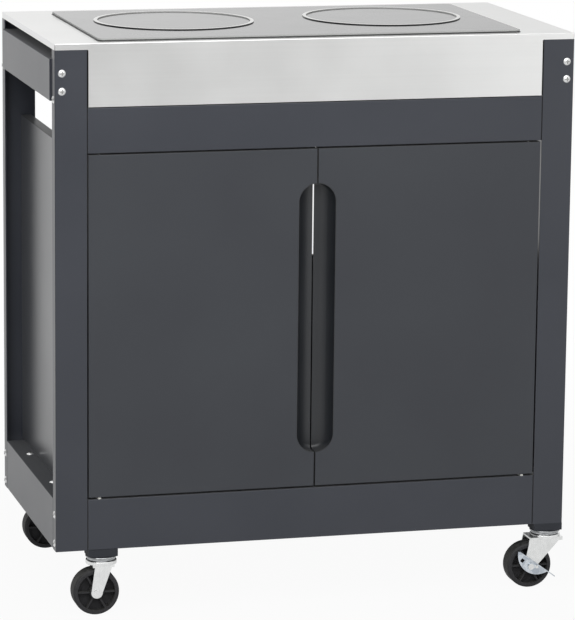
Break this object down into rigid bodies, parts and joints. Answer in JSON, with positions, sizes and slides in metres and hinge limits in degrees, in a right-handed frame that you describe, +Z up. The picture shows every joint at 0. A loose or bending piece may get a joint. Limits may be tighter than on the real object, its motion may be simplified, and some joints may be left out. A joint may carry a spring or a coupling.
{
  "type": "outdoor kitchen unit",
  "caption": "Sheet-steel outdoor kitchen cabinet on castors with a steel worktop, a flush glass hob, side handle rails and double doors that share a scooped pull.",
  "frame": {"origin": "on the floor, under the middle of the cabinet", "axes": "+Z up, the doors face -Y, +X to the right seen from the front"},
  "size_m": [0.857, 0.4718, 0.9255],
  "materials": {
    "anthracite": "fine-textured powder coat, satin",
    "stainless": "brushed along the front",
    "black_glass": "polished glass ceramic",
    "ring_trim": "satin",
    "zinc": "bright zinc plate",
    "screw_steel": "bright",
    "wheel_rubber": "moulded",
    "black_plastic": "moulded",
    "nylon": "turned",
    "coil_carrier": "lacquered winding",
    "circuit_board": "lacquered"
  },
  "bodies": {
    "cabinet": {"front_left_post": "anthracite", "front_left_castor_block": "anthracite", "front_left_castor_plate": "zinc", "front_right_post": "anthracite", "front_right_castor_block": "anthracite", "front_right_castor_plate": "zinc", "rear_left_post": "anthracite", "rear_left_castor_block": "anthracite", "rear_left_castor_plate": "zinc", "rear_right_post": "anthracite", "rear_right_castor_block": "anthracite", "rear_right_castor_plate": "zinc", "front_upper_rail": "anthracite", "front_lower_rail": "anthracite", "rear_upper_rail": "anthracite", "rear_lower_rail": "anthracite", "left_handle_rail": "anthracite", "left_lower_rail": "anthracite", "left_side_panel": "anthracite", "left_zone_ring": "ring_trim", "left_coil": "coil_carrier", "right_handle_rail": "anthracite", "right_lower_rail": "anthracite", "right_side_panel": "anthracite", "right_zone_ring": "ring_trim", "right_coil": "coil_carrier", "back_panel": "anthracite", "floor_panel": "anthracite", "worktop": "stainless", "hob_glass": "black_glass", "hob_tray": "zinc", "control_board": "circuit_board", "cable_gland": "black_plastic", "magnet_catches": "black_plastic", "hinge_bushes": "nylon", "front_screws": "screw_steel", "side_screws": "screw_steel"},
    "left_door": {"left_door_skin": "anthracite", "left_pull_scoop": "anthracite", "left_door_pivots": "zinc", "left_strike_plate": "zinc"},
    "right_door": {"right_door_skin": "anthracite", "right_pull_scoop": "anthracite", "right_door_pivots": "zinc", "right_strike_plate": "zinc"},
    "front_left_castor": {"front_left_castor_fork": "zinc", "front_left_castor_axle": "zinc"},
    "front_left_wheel": {"front_left_castor_wheel": "wheel_rubber"},
    "front_right_castor": {"front_right_castor_fork": "zinc", "front_right_castor_axle": "zinc"},
    "front_right_wheel": {"front_right_castor_wheel": "wheel_rubber"},
    "front_right_brake": {"front_right_brake_lever": "zinc"},
    "rear_left_castor": {"rear_left_castor_fork": "zinc", "rear_left_castor_axle": "zinc"},
    "rear_left_wheel": {"rear_left_castor_wheel": "wheel_rubber"},
    "rear_right_castor": {"rear_right_castor_fork": "zinc", "rear_right_castor_axle": "zinc"},
    "rear_right_wheel": {"rear_right_castor_wheel": "wheel_rubber"},
    "rear_right_brake": {"rear_right_brake_lever": "zinc"}
  },
  "joints": [
    {"name": "left_door_hinge", "type": "hinge", "parent": "cabinet", "child": "left_door", "pos_m": [-0.3536, -0.215, 0.46925], "axis": [0, 0, -1], "range_deg": [0, 110]},
    {"name": "right_door_hinge", "type": "hinge", "parent": "cabinet", "child": "right_door", "pos_m": [0.3536, -0.215, 0.46925], "axis": [0, 0, 1], "range_deg": [0, 110]},
    {"name": "front_left_swivel", "type": "hinge", "parent": "cabinet", "child": "front_left_castor", "pos_m": [-0.3482, -0.2085, 0.085], "axis": [0, 0, 1], "continuous": true},
    {"name": "front_left_wheel_spin", "type": "hinge", "parent": "front_left_castor", "child": "front_left_wheel", "pos_m": [-0.3587, -0.2085, 0.0375], "axis": [0, 1, 0], "continuous": true},
    {"name": "front_right_swivel", "type": "hinge", "parent": "cabinet", "child": "front_right_castor", "pos_m": [0.401, -0.2085, 0.085], "axis": [0, 0, 1], "continuous": true},
    {"name": "front_right_wheel_spin", "type": "hinge", "parent": "front_right_castor", "child": "front_right_wheel", "pos_m": [0.371, -0.2085, 0.0375], "axis": [0, 1, 0], "continuous": true},
    {"name": "front_right_brake_tip", "type": "hinge", "parent": "front_right_castor", "child": "front_right_brake", "pos_m": [0.371, -0.2085, 0.0375], "axis": [0, 1, 0], "range_deg": [-20, 0]},
    {"name": "rear_left_swivel", "type": "hinge", "parent": "cabinet", "child": "rear_left_castor", "pos_m": [-0.3482, 0.2085, 0.085], "axis": [0, 0, 1], "continuous": true},
    {"name": "rear_left_wheel_spin", "type": "hinge", "parent": "rear_left_castor", "child": "rear_left_wheel", "pos_m": [-0.3587, 0.2085, 0.0375], "axis": [0, 1, 0], "continuous": true},
    {"name": "rear_right_swivel", "type": "hinge", "parent": "cabinet", "child": "rear_right_castor", "pos_m": [0.401, 0.2085, 0.085], "axis": [0, 0, 1], "continuous": true},
    {"name": "rear_right_wheel_spin", "type": "hinge", "parent": "rear_right_castor", "child": "rear_right_wheel", "pos_m": [0.371, 0.2085, 0.0375], "axis": [0, 1, 0], "continuous": true},
    {"name": "rear_right_brake_tip", "type": "hinge", "parent": "rear_right_castor", "child": "rear_right_brake", "pos_m": [0.371, 0.2085, 0.0375], "axis": [0, 1, 0], "range_deg": [-20, 0]}
  ]
}
